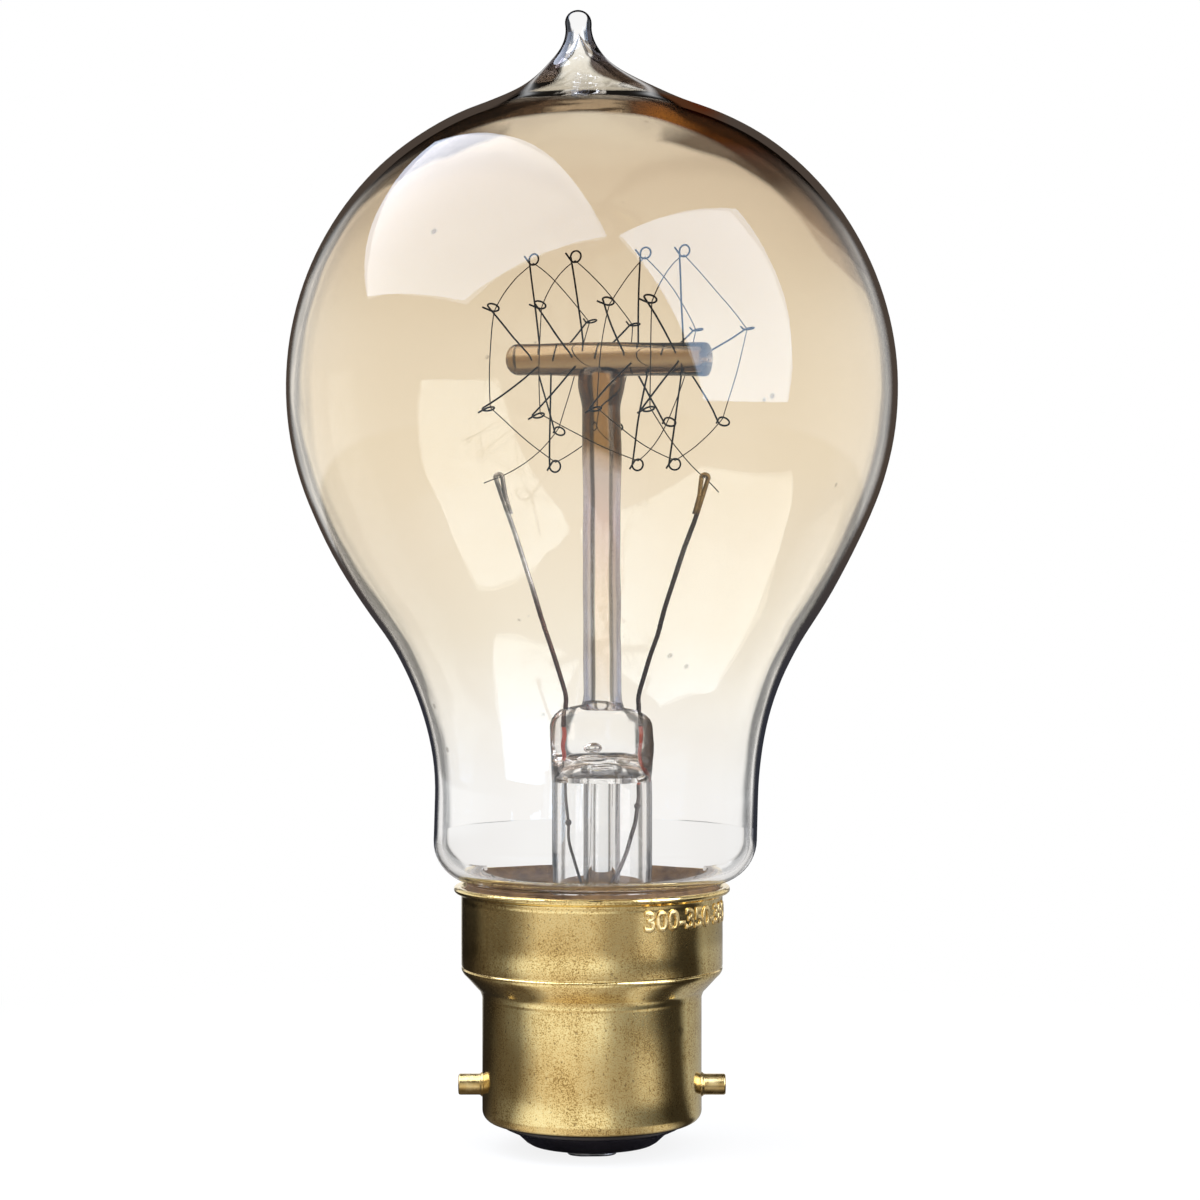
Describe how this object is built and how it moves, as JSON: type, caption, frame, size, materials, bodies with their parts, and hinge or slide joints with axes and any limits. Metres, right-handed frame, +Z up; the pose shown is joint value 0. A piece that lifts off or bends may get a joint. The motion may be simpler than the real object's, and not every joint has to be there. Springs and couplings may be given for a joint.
{
  "type": "incandescent bulb",
  "caption": "Incandescent filament bulb with a pear-shaped amber-tinted glass envelope, an exhaust pip, a wire cage on a glass stem and a bayonet cap with side pins.",
  "frame": {"origin": "where the bulb's axis meets the axis of the two bayonet pins", "axes": "+Z runs up the bulb's axis to the pip, +X along the right bayonet pin, +Y away from the viewer of the picture"},
  "size_m": [0.0612, 0.0612, 0.1141],
  "materials": {
    "tinted_glass": "clear glass with an amber lustre that fades out towards the neck",
    "clear_glass": "clear fire-polished glass",
    "filament_wire": "fine dark tungsten wire",
    "support_wire": "fine molybdenum wire",
    "nickel_wire": "dull nickel wire",
    "seal_wire": "copper-sheathed wire, red where it is sealed in glass",
    "copper_wire": "bare copper wire",
    "cap_brass": "pressed brass, mottled and worn",
    "black_glass": "glossy black moulded glass",
    "contact_brass": "plain brass",
    "solder": "soft grey solder",
    "basing_cement": "brown basing cement"
  },
  "bodies": {
    "root": {"envelope": "tinted_glass", "stem_flare": "clear_glass", "stem_press": "clear_glass", "exhaust_tube": "clear_glass", "stem_rod": "clear_glass", "crossbar": "clear_glass", "filament": "filament_wire", "support_top_1": "support_wire", "support_top_2": "support_wire", "support_top_3": "support_wire", "support_top_4": "support_wire", "support_front_upper_1": "support_wire", "support_front_upper_2": "support_wire", "support_front_upper_3": "support_wire", "support_front_upper_4": "support_wire", "support_front_lower_1": "support_wire", "support_front_lower_2": "support_wire", "support_front_lower_3": "support_wire", "support_front_lower_4": "support_wire", "support_bottom_1": "support_wire", "support_bottom_2": "support_wire", "support_bottom_3": "support_wire", "support_back_lower_1": "support_wire", "support_back_lower_2": "support_wire", "support_back_lower_3": "support_wire", "support_back_lower_4": "support_wire", "support_back_upper_1": "support_wire", "support_back_upper_2": "support_wire", "support_back_upper_3": "support_wire", "support_back_upper_4": "support_wire", "lead_left": "nickel_wire", "lead_right": "nickel_wire", "dumet_left": "seal_wire", "dumet_right": "seal_wire", "outer_lead_left": "copper_wire", "outer_lead_right": "copper_wire", "cap_shell": "cap_brass", "bayonet_pin_left": "cap_brass", "bayonet_pin_right": "cap_brass", "insulator": "black_glass", "contact_front": "contact_brass", "contact_back": "contact_brass", "solder_front": "solder", "solder_back": "solder", "cement": "basing_cement"}
  },
  "joints": []
}
